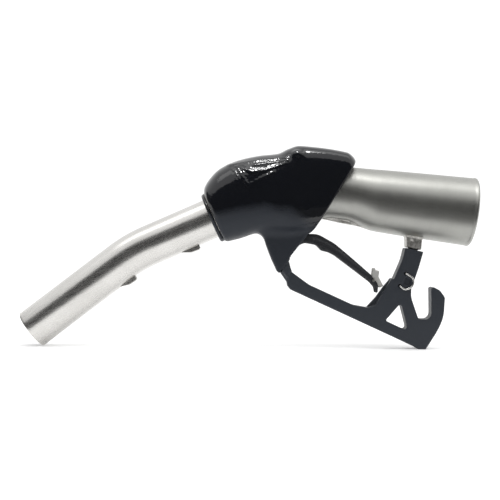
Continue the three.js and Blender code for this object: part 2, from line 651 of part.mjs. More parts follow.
function leverGuard() {
  const leg = slab([
    [10.6, 120.4], [11.4, 114], [17, 112.6], [17.6, 109], [20.4, 98.2, 20],
    [25.6, 85.6, 20], [31.2, 73.2], [36, 66],
    [40.4, 73], [37.3, 82.2], [37.2, 86.4, 4], [62, 117.6], [64, 120.4],
  ], CHEEK_OUT, 0.8);
  const frame = slab([
    // front foot and underside, to the heel
    [29.7, 71.3], [36, 62.3, 3], [36.6, 58.6, 2], [39.4, 55.2, 2], [156.5, 2.4, 10], [160, 0, 2],
    [167.4, 0, 1],
    // hook, outside then inside
    [178.3, 17.2, 40], [184.2, 30, 60], [185.2, 49.2, 4], [180.4, 55.6, 6], [174.4, 58.8, 1.2],
    [172, 57.8, 1.2], [172.6, 28.4, 6.6], [160.4, 28.4, 3],
    // back and top of the rear post
    [153.2, 49, 20], [153.4, 57, 10], [160, 76, 40], [164.4, 91.8], [147.3, 95.7, 1],
    [144.6, 84, 40], [136.9, 66.1],
    // step at the head of the rack, and the finger side of the frame
    [134.6, 66.4], [119.8, 41.4], [111.8, 38.9, 3], [99, 41.1, 12], [57.4, 59.8, 24], [37.6, 74, 12],
    [38.3, 81.8], [34, 82],
  ], GUARD_HALF, 0.9);
  const rack = slab([
    [112.2, 39.6], [124, 42], [140, 62], [136.4, 66.4], [134.4, 66.7, 0.6], [127.9, 58.9],
    [120.6, 48.7],
  ], RACK_HALF);
  const window = slab([[129.2, 26.8, 1.4], [150.6, 17, 2.4], [143.7, 43.6, 2]], 20);
  const channel = slab([
    [8, 125], [8, 112], [21.4, 112], [24.4, 98.8], [29.2, 87.2], [33, 80.5], [48, 80.5], [70, 125],
  ], CHEEK_IN);
  const frontScrew = crossPin(GUARD_SCREW.x, GUARD_SCREW.z, SCREW_HOLE_R, -20, 20);
  const socket = slab([[151.2, 83.6], [159.4, 83.6], [162, 99], [150.8, 99]], 3.4);
  const rearPin = crossPin(REAR_PIN.x, REAR_PIN.z, REAR_HOLE_R, -20, 20, 12);
  const wireHoles = WIRE_ENDS.map(([x, z]) => crossPin(x, z, 1.6, -20, -5, 10));
  const recess = plate(outline([[146, 60.4], [152.6, 60.2], [152.8, 66], [147, 68.2]]), -20, -7.6);
  return cut(join(leg, frame, rack), window, channel, frontScrew, socket, rearPin, ...wireHoles, recess);
}

// A spring-steel wire loop on the near face of the rear post, both ends in drilled holes.
function retainingWire() {
  const [low, high] = WIRE_ENDS;
  const route = [
    [low[0], -6, low[1]], [low[0], WIRE_Y + 1.5, low[1]], [low[0] + 1.2, WIRE_Y, low[1] - 1.2],
    [147.4, WIRE_Y, 56.4], [152.6, WIRE_Y, 58.2], [154.9, WIRE_Y, 62.6], [154.2, WIRE_Y, 67],
    [high[0] + 1.6, WIRE_Y, high[1] - 1], [high[0], WIRE_Y + 1.5, high[1]], [high[0], -6, high[1]],
  ];
  const curve = new THREE.CatmullRomCurve3(route.map((point) => new THREE.Vector3(...point)));
  return bar(curve, WIRE_R, 22, 8);
}

function addGuard() {
  add(nozzle, "lever_guard", leverGuard(), BLACK_COATING);
  add(nozzle, "retaining_wire", retainingWire(), STEEL);
  const { x, z } = GUARD_SCREW;
  const screw = join(
    crossPin(x, z, 2, -CHEEK_OUT - 1, CHEEK_OUT + 1),
    crossPin(x, z, 3.5, -CHEEK_OUT - 2, -CHEEK_OUT - GAP),
  );
  add(nozzle, "guard_screw", screw, STEEL);
  const pin = crossPin(REAR_PIN.x, REAR_PIN.z, 1.5, -GUARD_HALF + 0.4, GUARD_HALF - 0.4, 12);
  add(nozzle, "guard_rear_pin", pin, STEEL);
}

add(nozzle, "body_casting", bodyCasting(), CAST_ALUMINIUM);
add(nozzle, "scuff_boot", scuffBoot(), BLACK_VINYL);
addSpout();
addMainValve();
addLatch();
addLever();
addGuard();

export default nozzle;
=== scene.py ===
import json
import math

import bmesh
import bpy
import numpy as np
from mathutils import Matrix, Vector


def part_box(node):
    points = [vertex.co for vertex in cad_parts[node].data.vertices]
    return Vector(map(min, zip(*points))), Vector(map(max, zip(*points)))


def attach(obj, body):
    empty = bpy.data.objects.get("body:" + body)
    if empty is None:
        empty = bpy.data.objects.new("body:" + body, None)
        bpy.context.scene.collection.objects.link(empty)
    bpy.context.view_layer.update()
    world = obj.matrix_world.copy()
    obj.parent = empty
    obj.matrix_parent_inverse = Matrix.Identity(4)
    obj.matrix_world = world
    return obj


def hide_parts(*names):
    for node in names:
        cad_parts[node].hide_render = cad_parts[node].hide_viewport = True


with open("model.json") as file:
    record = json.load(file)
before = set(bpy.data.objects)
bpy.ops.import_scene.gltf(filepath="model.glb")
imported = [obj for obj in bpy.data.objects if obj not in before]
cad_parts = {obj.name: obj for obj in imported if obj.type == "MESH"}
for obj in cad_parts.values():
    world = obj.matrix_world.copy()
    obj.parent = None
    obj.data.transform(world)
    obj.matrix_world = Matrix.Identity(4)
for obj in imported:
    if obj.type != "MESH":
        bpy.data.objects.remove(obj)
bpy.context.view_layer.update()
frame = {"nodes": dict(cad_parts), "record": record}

import openvdb
from mathutils import Matrix, Vector

MM = 0.001

# ---- Driving dimensions, mm ------------------------------------------------------------------


class Axis:
    """A line in the side plane, through a point, at an angle above +X in degrees."""

    def __init__(self, x, z, angle):
        self.x, self.z, self.angle = x, z, math.radians(angle)
        self.cos, self.sin = math.cos(self.angle), math.sin(self.angle)

    def along(self, x, z):
        return (x - self.x) * self.cos + (z - self.z) * self.sin

    def above(self, x, z):
        return (z - self.z) * self.cos - (x - self.x) * self.sin

    def point(self, along):
        return self.x + along * self.cos, self.z + along * self.sin


SPOUT_AXIS = Axis(-36.4, 121.6, 24)  # at the nose lip, pointing into the body
SPOUT_TIP = Axis(-205.2, 15.1, 37.6)
BARREL_AXIS = Axis(211.5, 129.85, -6.6)  # at the inlet face, pointing out of it
REAR_EDGE = Axis(67.9, 122.5, -31)  # square to the boot's rear edge
LATCH_AXIS = Axis(33.4, 99.1, 102.2)  # at the lever's pivot

SPOUT_R, SPOUT_WALL, SPOUT_BEND_R, SPOUT_SET_IN = 19.05, 2.0, 130.0, 28.0
INLET_R, INLET_BORE_R, INLET_THREAD_DEPTH, BARREL_BORE_R = 32.5, 24.2, 26.0, 21.0
THREAD_PITCH, THREAD_DEPTH = 2.21, 1.2
BOOT_WALL, BOOT_HALF = 3.0, 33.9
CHEEK_IN, CHEEK_OUT, GUARD_HALF, RACK_HALF, SKIRT_HALF = 9.0, 12.5, 9.5, 3.0, 15.0
LEVER_HALF, FORK_HALF = 7.2, 5.2
GAP = 0.3  # assembly gap between two pieces
GUARD_SCREW, CLIP_PIN = (15.6, 116.9), (117.9, 64.4)

pin_low, pin_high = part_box("lever_pin")
X_SHIFT = (pin_low.x + pin_high.x) / 2 / MM - LATCH_AXIS.x  # drawing to frame, along X


def placed(points):
    """Drawing points in mm as frame points in metres."""
    return (np.asarray(points, float).reshape(-1, 3) + (X_SHIFT, 0, 0)) * MM


# ---- Meshes ----------------------------------------------------------------------------------

def mesh_object(name, points, faces):
    """A smooth-shaded object from points in mm, its faces turned outward."""
    mesh = bpy.data.meshes.new(name)
    mesh.from_pydata(placed(points).tolist(), [], np.asarray(faces).tolist() if len(faces) else [])
    shell = bmesh.new()
    shell.from_mesh(mesh)
    if shell.calc_volume(signed=True) < 0:
        bmesh.ops.reverse_faces(shell, faces=shell.faces)
    for face in shell.faces:
        face.smooth = True
    shell.to_mesh(mesh)
    shell.free()
    obj = bpy.data.objects.new(name, mesh)
    bpy.context.scene.collection.objects.link(obj)
    return obj


def joined(name, *objects):
    """The objects as one."""
    with bpy.context.temp_override(active_object=objects[0], selected_editable_objects=objects):
        bpy.ops.object.join()
    objects[0].name = objects[0].data.name = name
    return objects[0]


def swept(name, path, stations, sides):
    """A closed skin of rings along a path, whose last ring joins the first one. A station is
    (distance along the path, radius); the radius may be a function of the angle."""
    angles = np.linspace(0, 2 * math.pi, sides, endpoint=False)
    points = []
    for distance, radius in stations:
        centre, up = path(distance)
        radii = radius(angles) if callable(radius) else np.full(sides, float(radius))
        ring = np.outer(radii * np.cos(angles), up) + np.outer(radii * np.sin(angles), (0, 1, 0))
        points.append(ring + centre)
    rows = len(stations)
    faces = []
    for row in range(rows):
        below, above = row * sides, (row + 1) % rows * sides
        faces += [(below + i, below + (i + 1) % sides, above + (i + 1) % sides, above + i)
                  for i in range(sides)]
    return mesh_object(name, np.concatenate(points), faces)


def straight(axis):
    """A path along an axis, for swept()."""
    return lambda distance: (
        np.array((axis.point(distance)[0], 0, axis.point(distance)[1])),
        np.array((-axis.sin, 0, axis.cos)),
    )


# ---- Outlines --------------------------------------------------------------------------------

MOST_TURN = math.radians(9)  # of a rounded corner, from one point to the next


def rounded(corners):
    """The outline through [x, z, corner radius] points, with its corners rounded."""
    points = [np.array(corner[:2], float) for corner in corners]
    outline = []
    for i, corner in enumerate(corners):
        radius = corner[2] if len(corner) > 2 else 0
        if not radius:
            outline.append(points[i])
            continue
        back, ahead = points[i - 1] - points[i], points[(i + 1) % len(points)] - points[i]
        long_back, long_ahead = np.linalg.norm(back), np.linalg.norm(ahead)
        back, ahead = back / long_back, ahead / long_ahead
        half = math.acos(max(-1, min(1, back @ ahead))) / 2
        reach = min(radius / math.tan(half), 0.49 * long_back, 0.49 * long_ahead)
        middle = (back + ahead) / np.linalg.norm(back + ahead)
        centre = points[i] + middle * reach / math.cos(half)
        start = points[i] + back * reach - centre
        turn = (math.pi - 2 * half) * np.sign(ahead[0] * back[1] - ahead[1] * back[0])
        steps = max(1, math.ceil(abs(turn) / MOST_TURN))
        for step in range(steps + 1):
            c, s = math.cos(turn * step / steps), math.sin(turn * step / steps)
            outline.append(centre + (start[0] * c - start[1] * s, start[0] * s + start[1] * c))
    return np.array(outline)


# ---- Distance fields -------------------------------------------------------------------------
# A solid is a field of distances in mm on a grid, negative inside. Fields join and cut with a
# rounded edge, as a moulding or a casting has.

def smooth_join(a, b, radius):
    mix = np.clip(0.5 + 0.5 * (b - a) / radius, 0, 1)
    return b + (a - b) * mix - radius * mix * (1 - mix)


def smooth_cut(a, b, radius):
    """a without b."""
    return -smooth_join(-a, b, radius)


def outline_distance(outline, x, z):
    """Distance from each point (x, z) to a closed outline, negative inside it."""
    shape = np.broadcast(x, z).shape
    nearest = np.full(shape, 1e9, np.float32)
    inside = np.zeros(shape, bool)
    for (ax, az), (bx, bz) in zip(outline, np.roll(outline, -1, 0)):
        ex, ez = bx - ax, bz - az
        length = ex * ex + ez * ez
        if length < 1e-12:
            continue
        share = np.clip(((x - ax) * ex + (z - az) * ez) / length, 0, 1)
        gap = (x - ax - share * ex) ** 2 + (z - az - share * ez) ** 2
        nearest = np.minimum(nearest, gap)
        if az != bz:
            crossed = ((az > z) != (bz > z)) & (x < (bx - ax) * (z - az) / (bz - az) + ax)
            inside ^= crossed
    return np.where(inside, -1, 1) * np.sqrt(nearest)


class Block:
    """A grid of points in mm, on which a solid is worked out as a distance field."""

    def __init__(self, low, high, step):
        self.low, self.step = np.array(low, float), step
        axes = [np.arange(a, b + step, step, dtype=np.float32) for a, b in zip(low, high)]
        self.x, self.y, self.z = np.meshgrid(*axes, indexing="ij", sparse=True)

    def slab(self, corners, half, edge=0.0, centre=0.0):
        """A plate of a rounded outline, half its thickness each way from y = centre."""
        side = outline_distance(rounded(corners), self.x, self.z) + edge
        face = np.abs(self.y - centre) - half + edge
        outer = np.hypot(np.maximum(side, 0), np.maximum(face, 0))
        return np.minimum(np.maximum(side, face), 0) + outer - edge

    def rod(self, axis, start, end, radius):
        """A round rod or hole along an axis."""
        along = axis.along(self.x, self.z)
        wall = np.hypot(axis.above(self.x, self.z), self.y) - radius
        return np.maximum(wall, np.maximum(start - along, along - end))

    def cross_hole(self, x, z, radius):
        """A round hole right across, along Y."""
        return np.hypot(self.x - x, self.z - z) - radius + 0 * self.y

    def skin(self, name, field):
        """The solid's surface as an object."""
        grid = openvdb.FloatGrid(10.0)
        grid.copyFromArray(np.ascontiguousarray(field, np.float32))
        points, quads = grid.convertToQuads()
        return mesh_object(name, points * self.step + self.low, quads)


# Creases of the vinyl on each side of the boot: ends (X, Z), height as a share, width.
NEAR_CREASES = [
    (-12, 169.5, -2, 152.5, 1.0, 1.7), (-15, 167, -8, 156, 0.6, 1.2), (-8.5, 169, -4, 161, 0.8, 1.3),
    (-9, 168.5, 2, 164.5, 1.0, 1.8), (2, 164.5, 14, 165.5, 0.9, 1.7), (14, 165.5, 33, 172.5, 0.7, 1.4),
    (-1, 151.5, 9, 156.5, 0.8, 1.4), (9, 156.5, 22, 164, 0.8, 1.5), (-20, 171.5, 4, 174.5, 0.6, 1.3),
    (4, 174.5, 34, 178, 0.7, 1.3), (4, 171, 34, 175, 0.6, 1.2), (-14, 162, -9, 152, 0.3, 1.2),
]
FAR_CREASES = [
    (-18, 165, -4, 152, 0.9, 1.7), (-6, 160, 18, 164, 0.9, 1.6), (-2, 168, 28, 173, 0.8, 1.5),
    (-12, 172, 16, 175.5, 0.6, 1.3), (40, 168, 76, 150, 0.5, 2.2), (44, 158, 66, 140, 0.4, 2.0),
]
SATIN_PEAK = (15.0, 132.0)  # where the satin part of the vinyl reaches highest

# ---- Materials -------------------------------------------------------------------------------

class Look:
    """A Principled material that is built up node by node, in frame coordinates in metres."""

    def __init__(self, name, **sockets):
        self.material = bpy.data.materials.new(name)
        self.material.use_nodes = True
        self.tree = self.material.node_tree
        self.shader = self.tree.nodes["Principled BSDF"]
        for socket, value in sockets.items():
            self.shader.inputs[socket.replace("_", " ")].default_value = value
        self.place = self.node("ShaderNodeTexCoord").outputs["Object"]
        self.height = None

    def node(self, kind, inputs=None, **settings):
        node = self.tree.nodes.new(kind)
        for key, value in settings.items():
            setattr(node, key, value)
        for key, value in (inputs or {}).items():
            if isinstance(value, bpy.types.NodeSocket):
                self.tree.links.new(value, node.inputs[key])
            else:
                node.inputs[key].default_value = value
        return node

    def stretched(self, scale, angle=0.0):
        """Coordinates turned by an angle about Y, then scaled along each of the turned axes."""
        turned = self.node("ShaderNodeMapping", {"Vector": self.place, "Rotation": (0, angle, 0)})
        scaled = {"Vector": turned.outputs[0], "Scale": scale}
        return self.node("ShaderNodeMapping", scaled).outputs[0]

    def noise(self, scale, detail=3.0, roughness=0.55, at=None, distortion=0.0):
        inputs = {"Vector": at or self.place, "Scale": scale, "Detail": detail,
                  "Roughness": roughness, "Distortion": distortion}
        return self.node("ShaderNodeTexNoise", inputs).outputs["Fac"]

    def levels(self, value, low, high, to_low, to_high):
        """A value between low and high spread over to_low to to_high."""
        inputs = {"Value": value, "From Min": low, "From Max": high, "To Min": to_low, "To Max": to_high}
        return self.node("ShaderNodeMapRange", inputs).outputs[0]

    def math(self, operation, *values):
        return self.node("ShaderNodeMath", dict(enumerate(values)), operation=operation).outputs[0]

    def blend(self, share, a, b):
        node = self.node("ShaderNodeMix", data_type="RGBA")
        self.tree.links.new(share, node.inputs[0])
        for socket, value in ((node.inputs[6], a), (node.inputs[7], b)):
            if isinstance(value, bpy.types.NodeSocket):
                self.tree.links.new(value, socket)
            else:
                socket.default_value = (*value, 1)
        return node.outputs[2]

    def set(self, socket, value):
        self.tree.links.new(value, self.shader.inputs[socket])

    def bump(self, height, depth_mm):
        """Adds a bump whose full height is depth_mm."""
        inputs = {"Height": height, "Distance": depth_mm * MM, "Strength": 1.0}
        if self.height:
            inputs["Normal"] = self.height
        self.height = self.node("ShaderNodeBump", inputs).outputs[0]
        self.set("Normal", self.height)

    def edges(self):
        """1 on sharp outer edges, 0 elsewhere."""
        pointed = self.node("ShaderNodeNewGeometry").outputs["Pointiness"]
        return self.levels(pointed, 0.52, 0.62, 0, 1)


PIT_SCALE, PIT_DEPTH = 900, 0.02  # noise cells per metre, and mm


def metal(name, light, dark, rough, grain_scale, grain_angle, grain_depth):
    """Satin metal with a fine directional grain, faint stains and a few pits."""
    look = Look(name, Metallic=1.0)
    stains = look.noise(28, 5, 0.6)
    grain = look.noise(1.0, 4, 0.6, look.stretched(grain_scale, grain_angle))
    tone = look.levels(stains, 0.3, 0.7, 0, 1)
    look.set("Base Color", look.blend(tone, dark, light))
    uneven = look.levels(grain, 0.3, 0.7, rough[0], rough[1])
    look.set("Roughness", uneven)
    look.bump(grain, grain_depth)
    look.bump(look.noise(PIT_SCALE, 2, 0.5), PIT_DEPTH)
    return look


spout_metal = metal("spout_aluminium", (0.63, 0.62, 0.60), (0.56, 0.55, 0.53), (0.22, 0.32),
                    (60, 700, 700), SPOUT_AXIS.angle, 0.008).material
barrel_metal = metal("cast_aluminium", (0.385, 0.385, 0.365), (0.325, 0.325, 0.305), (0.36, 0.46),
                     (900, 40, 40), BARREL_AXIS.angle, 0.02).material
steel = metal("steel", (0.55, 0.54, 0.52), (0.42, 0.41, 0.39), (0.25, 0.4), (500, 500, 500), 0, 0.02).material
bright_steel = metal("spring_steel", (0.8, 0.79, 0.77), (0.7, 0.69, 0.67), (0.16, 0.26),
                     (500, 500, 500), 0, 0.01).material
clip_steel = metal("clip_steel", (0.86, 0.85, 0.82), (0.76, 0.75, 0.72), (0.5, 0.62),
                   (500, 500, 500), 0, 0.02).material
brass = metal("brass", (0.72, 0.54, 0.24), (0.6, 0.44, 0.18), (0.22, 0.36), (600, 600, 600), 0, 0.02).material


def rough_casting():
    """Bare sand-cast aluminium, pitted, greyer in its pits."""
    look = Look("raw_casting", Metallic=1.0)
    lumps = look.noise(420, 4, 0.65)
    pits = look.noise(1500, 3, 0.6)
    tone = look.levels(lumps, 0.35, 0.65, 0, 1)
    look.set("Base Color", look.blend(tone, (0.34, 0.33, 0.31), (0.62, 0.61, 0.58)))
    look.set("Roughness", look.levels(pits, 0.3, 0.7, 0.4, 0.62))
    look.bump(lumps, 0.45)
    look.bump(pits, 0.12)
    return look.material


raw_casting = rough_casting()


def vinyl():
    """Thick dipped vinyl: glossy above, worn to satin low on the nose and the leg."""
    look = Look("black_vinyl", IOR=1.52)
    axes = look.node("ShaderNodeSeparateXYZ", {0: look.place}).outputs
    wobble = look.noise(45, 3, 0.5)
    # how far a point lies below the border between the glossy and the satin parts
    peak = look.math("ABSOLUTE", look.math("SUBTRACT", axes["X"], SATIN_PEAK[0] * MM))
    border = look.math("MULTIPLY_ADD", peak, -0.2, SATIN_PEAK[1] * MM)
    border = look.math("SUBTRACT", border, look.levels(axes["X"], 0.040, 0.066, 0, 0.008))
    border = look.math("MULTIPLY_ADD", wobble, 0.008, border)
    satin = look.levels(look.math("SUBTRACT", border, axes["Z"]), -0.002, 0.008, 0, 1)
    dust = look.levels(look.noise(2600, 2, 0.7), 0.62, 0.75, 0, 1)
    gloss_tone = look.blend(dust, (0.002, 0.0024, 0.0036), (0.012, 0.013, 0.016))
    look.set("Base Color", look.blend(satin, gloss_tone, (0.0165, 0.0195, 0.0255)))
    gloss_rough = look.levels(look.noise(60, 4, 0.6), 0.35, 0.7, 0.07, 0.16)
    look.set("Roughness", look.math("MULTIPLY_ADD", satin, 0.34, gloss_rough))
    look.set("Specular IOR Level", look.levels(satin, 0, 1, 0.5, 0.2))
    height = look.math("MULTIPLY", look.noise(38, 2, 0.5, distortion=0.6), 0.5)
    height = look.math("MULTIPLY_ADD", look.noise(150, 2, 0.5, distortion=1.2), 0.12, height)
    height = look.math("MULTIPLY_ADD", look.noise(900, 2, 0.5), 0.012, height)
    look.bump(height, 1.0)
    return look.material


def coating(name, tone, edge_tone, rough, orange_peel):
    """Satin black coating on a casting, thinner and greyer along its edges."""
    look = Look(name, IOR=1.5)
    worn = look.levels(look.noise(160, 4, 0.6), 0.35, 0.65, 0.2, 1)
    edge = look.node("ShaderNodeMath", {0: look.edges(), 1: worn}, operation="MULTIPLY").outputs[0]
    look.set("Base Color", look.blend(edge, tone, edge_tone))
    look.set("Roughness", look.levels(look.noise(220, 4, 0.6), 0.3, 0.7, rough[0], rough[1]))
    look.shader.inputs["Specular IOR Level"].default_value = 0.32
    look.bump(look.noise(700, 3, 0.6), orange_peel)
    look.bump(look.noise(90, 2, 0.5), orange_peel * 3)
    return look.material


black_vinyl = vinyl()
black_coating = coating("black_coating", (0.021, 0.025, 0.032), (0.04, 0.043, 0.05), (0.36, 0.55), 0.03)
lever_coating = coating("lever_coating", (0.014, 0.015, 0.018), (0.045, 0.045, 0.047), (0.42, 0.6), 0.08)


def soft_rubber():
    look = Look("seal_rubber", IOR=1.45)
    look.set("Base Color", look.blend(look.noise(500, 3), (0.016, 0.016, 0.017), (0.03, 0.03, 0.03)))
    look.set("Roughness", look.levels(look.noise(900, 3), 0.3, 0.7, 0.55, 0.8))
    look.bump(look.noise(1500, 2), 0.03)
    return look.material


LOOK_OF_SLOT = {"spout_aluminium": spout_metal, "cast_aluminium": barrel_metal, "black_vinyl": black_vinyl,
                "black_coating": black_coating, "steel": steel, "brass": brass, "seal_rubber": soft_rubber()}


def finished(obj, body, slot, material, *nodes):
    """Gives a piece its material, and puts it on its body in place of its CAD nodes."""
    obj.data.materials.clear()
    obj.data.materials.append(material)
    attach(obj, body)
    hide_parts(*nodes)
    return obj


# ---- Spout -----------------------------------------------------------------------------------

def spout_path():
    """The spout's centre line from its tip: straight, bent and straight."""
    tip, root = np.array((SPOUT_TIP.x, SPOUT_TIP.z)), np.array((SPOUT_AXIS.x, SPOUT_AXIS.z))
    tip_way = np.array((SPOUT_TIP.cos, SPOUT_TIP.sin))
    root_way = np.array((SPOUT_AXIS.cos, SPOUT_AXIS.sin))
    turn = SPOUT_TIP.angle - SPOUT_AXIS.angle
    apart = root - tip
    reach = -(apart[0] * root_way[1] - apart[1] * root_way[0]) / math.sin(turn)
    tangent = SPOUT_BEND_R * math.tan(turn / 2)
    first = reach - tangent
    bend = SPOUT_BEND_R * turn
    corner = tip + tip_way * reach
    last = np.linalg.norm(root - corner) - tangent + SPOUT_SET_IN

    def path(distance):
        turned = min(max((distance - first) / SPOUT_BEND_R, 0), turn)
        angle = SPOUT_TIP.angle - turned
        way = np.array((math.cos(angle), math.sin(angle)))
        at = tip + tip_way * min(distance, first)
        if turned > 0:
            side = np.array((tip_way[1], -tip_way[0]))
            at = at + SPOUT_BEND_R * (math.sin(turned) * tip_way + (1 - math.cos(turned)) * side)
        at = at + way * max(distance - first - bend, 0)
        return np.array((at[0], 0, at[1])), np.array((-way[1], 0, way[0]))

    return path, first, bend, first + bend + last


def make_spout():
    path, first, bend, length = spout_path()
    lengthwise = [first * share for share in np.linspace(0.02, 1, 12)]
    lengthwise += [first + bend * share for share in np.linspace(0.05, 1, 20)]
    lengthwise += [first + bend + (length - first - bend) * share for share in np.linspace(0.06, 1, 12)]
    inner, rim = SPOUT_R - SPOUT_WALL, 0.5
    quarter = np.linspace(0, math.pi / 2, 5)
    lip = [(rim - rim * math.sin(a), inner + rim - rim * math.cos(a)) for a in quarter]
    brow = [(rim - rim * math.cos(a), SPOUT_R - rim + rim * math.sin(a)) for a in quarter]
    stations = lip + brow + [(d, SPOUT_R) for d in lengthwise] + [(d, inner) for d in reversed(lengthwise)]
    tube = swept("spout_tube_fine", path, stations, 96)
    return finished(tube, "body", "spout_aluminium", spout_metal, "spout_tube")


make_spout()

# ---- Body casting ----------------------------------------------------------------------------

# Axial place from the inlet face, then how far the barrel reaches above and below its axis.
BARREL_SECTIONS = np.array([
    (-146, 27.6, 25.0), (-132, 28.0, 22.2), (-117, 28.3, 22.6), (-110, 28.5, 24.2), (-103, 28.7, 26.6),
    (-97, 28.9, 28.4), (-91.7, 29.2, 29.4), (-2.8, 32.2, 32.2),
])


def smooth_through(known_x, known_y, x):
    """A smooth curve through known points that never passes their highs and lows."""
    known_x, known_y = np.asarray(known_x, float), np.asarray(known_y, float)
    slopes = np.diff(known_y) / np.diff(known_x)
    before, after = slopes[:-1], slopes[1:]
    both = before * after > 0
    inner = np.where(both, 2 * before * after / np.where(both, before + after, 1), 0)
    tangents = np.concatenate(([slopes[0]], inner, [slopes[-1]]))
    i = np.clip(np.searchsorted(known_x, x) - 1, 0, len(slopes) - 1)
    width = known_x[i + 1] - known_x[i]
    t = np.clip((x - known_x[i]) / width, 0, 1)
    start, end = known_y[i], known_y[i + 1]
    return ((2 * t**3 - 3 * t**2 + 1) * start + (t**3 - 2 * t**2 + t) * width * tangents[i]
            + (3 * t**2 - 2 * t**3) * end + (t**3 - t**2) * width * tangents[i + 1])


def barrel_reach(at):
    """The barrel's radius at places along its axis, and how far its centre lies above the axis."""
    above, below = (
        smooth_through(BARREL_SECTIONS[:, 0], BARREL_SECTIONS[:, column], at) for column in (1, 2))
    return (above + below) / 2, (above - below) / 2


def make_barrel():
    """The long round barrel, from its rim to the neck, with its threaded inlet."""
    outside = np.linspace(-140, -2.8, 60)
    radii, rises = barrel_reach(outside)

    def circle(radius, rise):
        # distance from the axis to an off-centre circle, at each angle from straight up
        return lambda angles: rise * np.cos(angles) + np.sqrt(radius**2 - (rise * np.sin(angles)) ** 2)

    stations = [(at, circle(radius, rise)) for at, radius, rise in zip(outside, radii, rises)]
    stations += [(-2.6, INLET_R - 0.15), (-2.2, INLET_R), (-1.0, INLET_R - 0.08), (-0.4, INLET_R - 0.45)]
    stations += [(-0.1, INLET_R - 0.8), (0, INLET_R - 1.3)]
    stations += [(0, INLET_BORE_R + 2.0), (-0.15, INLET_BORE_R + 1.4)]

    def thread(at):
        fade = min(1, (-at - 0.8) / 3, (INLET_THREAD_DEPTH + at) / 2)

        def radius(angles):
            phase = (at / THREAD_PITCH + angles / (2 * math.pi)) % 1
            return INLET_BORE_R + 0.2 - THREAD_DEPTH * max(fade, 0) * (1 - np.abs(2 * phase - 1))

        return radius

    stations += [(at, thread(at)) for at in np.arange(-1.0, -INLET_THREAD_DEPTH, -THREAD_PITCH / 6)]
    stations += [(-INLET_THREAD_DEPTH, INLET_BORE_R), (-INLET_THREAD_DEPTH - 0.4, BARREL_BORE_R + 0.5),
                 (-INLET_THREAD_DEPTH - 0.9, BARREL_BORE_R), (-60, BARREL_BORE_R), (-104, BARREL_BORE_R),
                 (-112, 15.0), (-125, 13.5), (-140, 13.5)]
    return swept("barrel", straight(BARREL_AXIS), stations, 112)


NECK_RIB = [[62, 124], [86.4, 118.6], [96, 116.9], [105.6, 115.4], [114, 113.3], [118, 130], [62, 140]]


def make_lug():
    """The rib under the neck, and the lug under the barrel that the guard's post hangs on."""
    block = Block((60, -14, 82), (168, 14, 136), 0.6)
    along = BARREL_AXIS.along(block.x, block.z)
    radius, rise = barrel_reach(np.clip(along, -146, -2.8))
    barrel = np.hypot(BARREL_AXIS.above(block.x, block.z) - rise, block.y) - radius + 0.25
    rib = block.slab(NECK_RIB, 3.5, 1.0)
    post = block.slab([[148.6, 96.3, 0.8], [162.6, 93.6, 0.8], [164.2, 112], [148.2, 112]], 7.6, 0.9)
    tongue = block.slab([[152.2, 84.2], [158.4, 84.2], [160.8, 98], [151.6, 98]], 3, 0.5)
    field = smooth_join(smooth_join(barrel, rib, 2.5), smooth_join(post, tongue, 1.0), 3.0)
    dimple = np.sqrt((block.x - 153.4) ** 2 + (block.y + 8.6) ** 2 + (block.z - 101.6) ** 2) - 1.9
    field = smooth_cut(field, dimple, 0.5)
    field = smooth_cut(field, block.cross_hole(156, 89, 1.8), 0.4)
    return block.skin("lug", np.maximum(field, -(barrel + 0.8)))  # only what stands out of the barrel


def make_front_casting():
    """The casting's front, in the boot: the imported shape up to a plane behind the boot's edge."""
    front = bpy.data.objects.new("front", frame["nodes"]["body_casting"].data.copy())
    bpy.context.scene.collection.objects.link(front)
    cut_x, cut_z = REAR_EDGE.point(-7)
    shell = bmesh.new()
    shell.from_mesh(front.data)
    bmesh.ops.bisect_plane(
        shell, geom=[*shell.verts, *shell.edges, *shell.faces], clear_outer=True,
        plane_co=((cut_x + X_SHIFT) * MM, 0, cut_z * MM), plane_no=(REAR_EDGE.cos, 0, REAR_EDGE.sin))
    bmesh.ops.remove_doubles(shell, verts=shell.verts, dist=1e-6)
    bmesh.ops.holes_fill(shell, edges=[e for e in shell.edges if e.is_boundary])
    shell.to_mesh(front.data)
    shell.free()
    front.data.materials.clear()
    front.data.shade_flat()
    return front


barrel, lug, front = make_barrel(), make_lug(), make_front_casting()
barrel.data.materials.append(barrel_metal)
for piece in (lug, front):
    piece.data.materials.clear()
    piece.data.materials.append(raw_casting)
casting = joined("body_casting_fine", barrel, lug, front)
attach(casting, "body")
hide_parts("body_casting")

# ---- Scuff boot ------------------------------------------------------------------------------

# Upright sections of the boot: X, lowest Z, highest Z, half width, squareness of the section.
BOOT_SECTIONS = np.array([
    [-52, 99.0, 128.0, 15, 2.0],
    [-46, 99.0, 143.5, 23, 2.1],
    [-39, 99.5, 157.5, 27.5, 2.2],
    [-28, 99.2, 168.9, 30.5, 2.4],
    [-11, 102.4, 176.8, 33, 2.6],
    [10, 108.5, 181.4, 34, 2.9],
    [26, 109.0, 183.2, 34, 3.0],
    [36, 109.5, 187.5, 33.5, 3.6],
    [46, 111.0, 190.4, 32.5, 4.2],
    [58, 114.0, 189.6, 31.5, 4.4],
    [91, 120.0, 184.9, 28, 4.2],
    [97, 122.0, 181.5, 27, 3.2],
    [103, 128.0, 172.0, 22, 2.4],
])
SKIRT = [[12.2, 118], [12.6, 109], [16.1, 97.1, 20], [21.3, 83.8, 20], [26.6, 72.4], [28.8, 70.6],
         [38.3, 82.1], [39.6, 86.6, 6], [68.2, 123], [62, 140], [20, 140]]
LEG_ROOM = [[8.8, 125], [9.4, 113], [15.2, 112], [15.8, 109], [18.3, 97.6], [23.4, 84.8], [29.2, 71.9],
            [40, 60], [41.5, 75], [38, 84.2], [63.5, 117], [66, 125]]
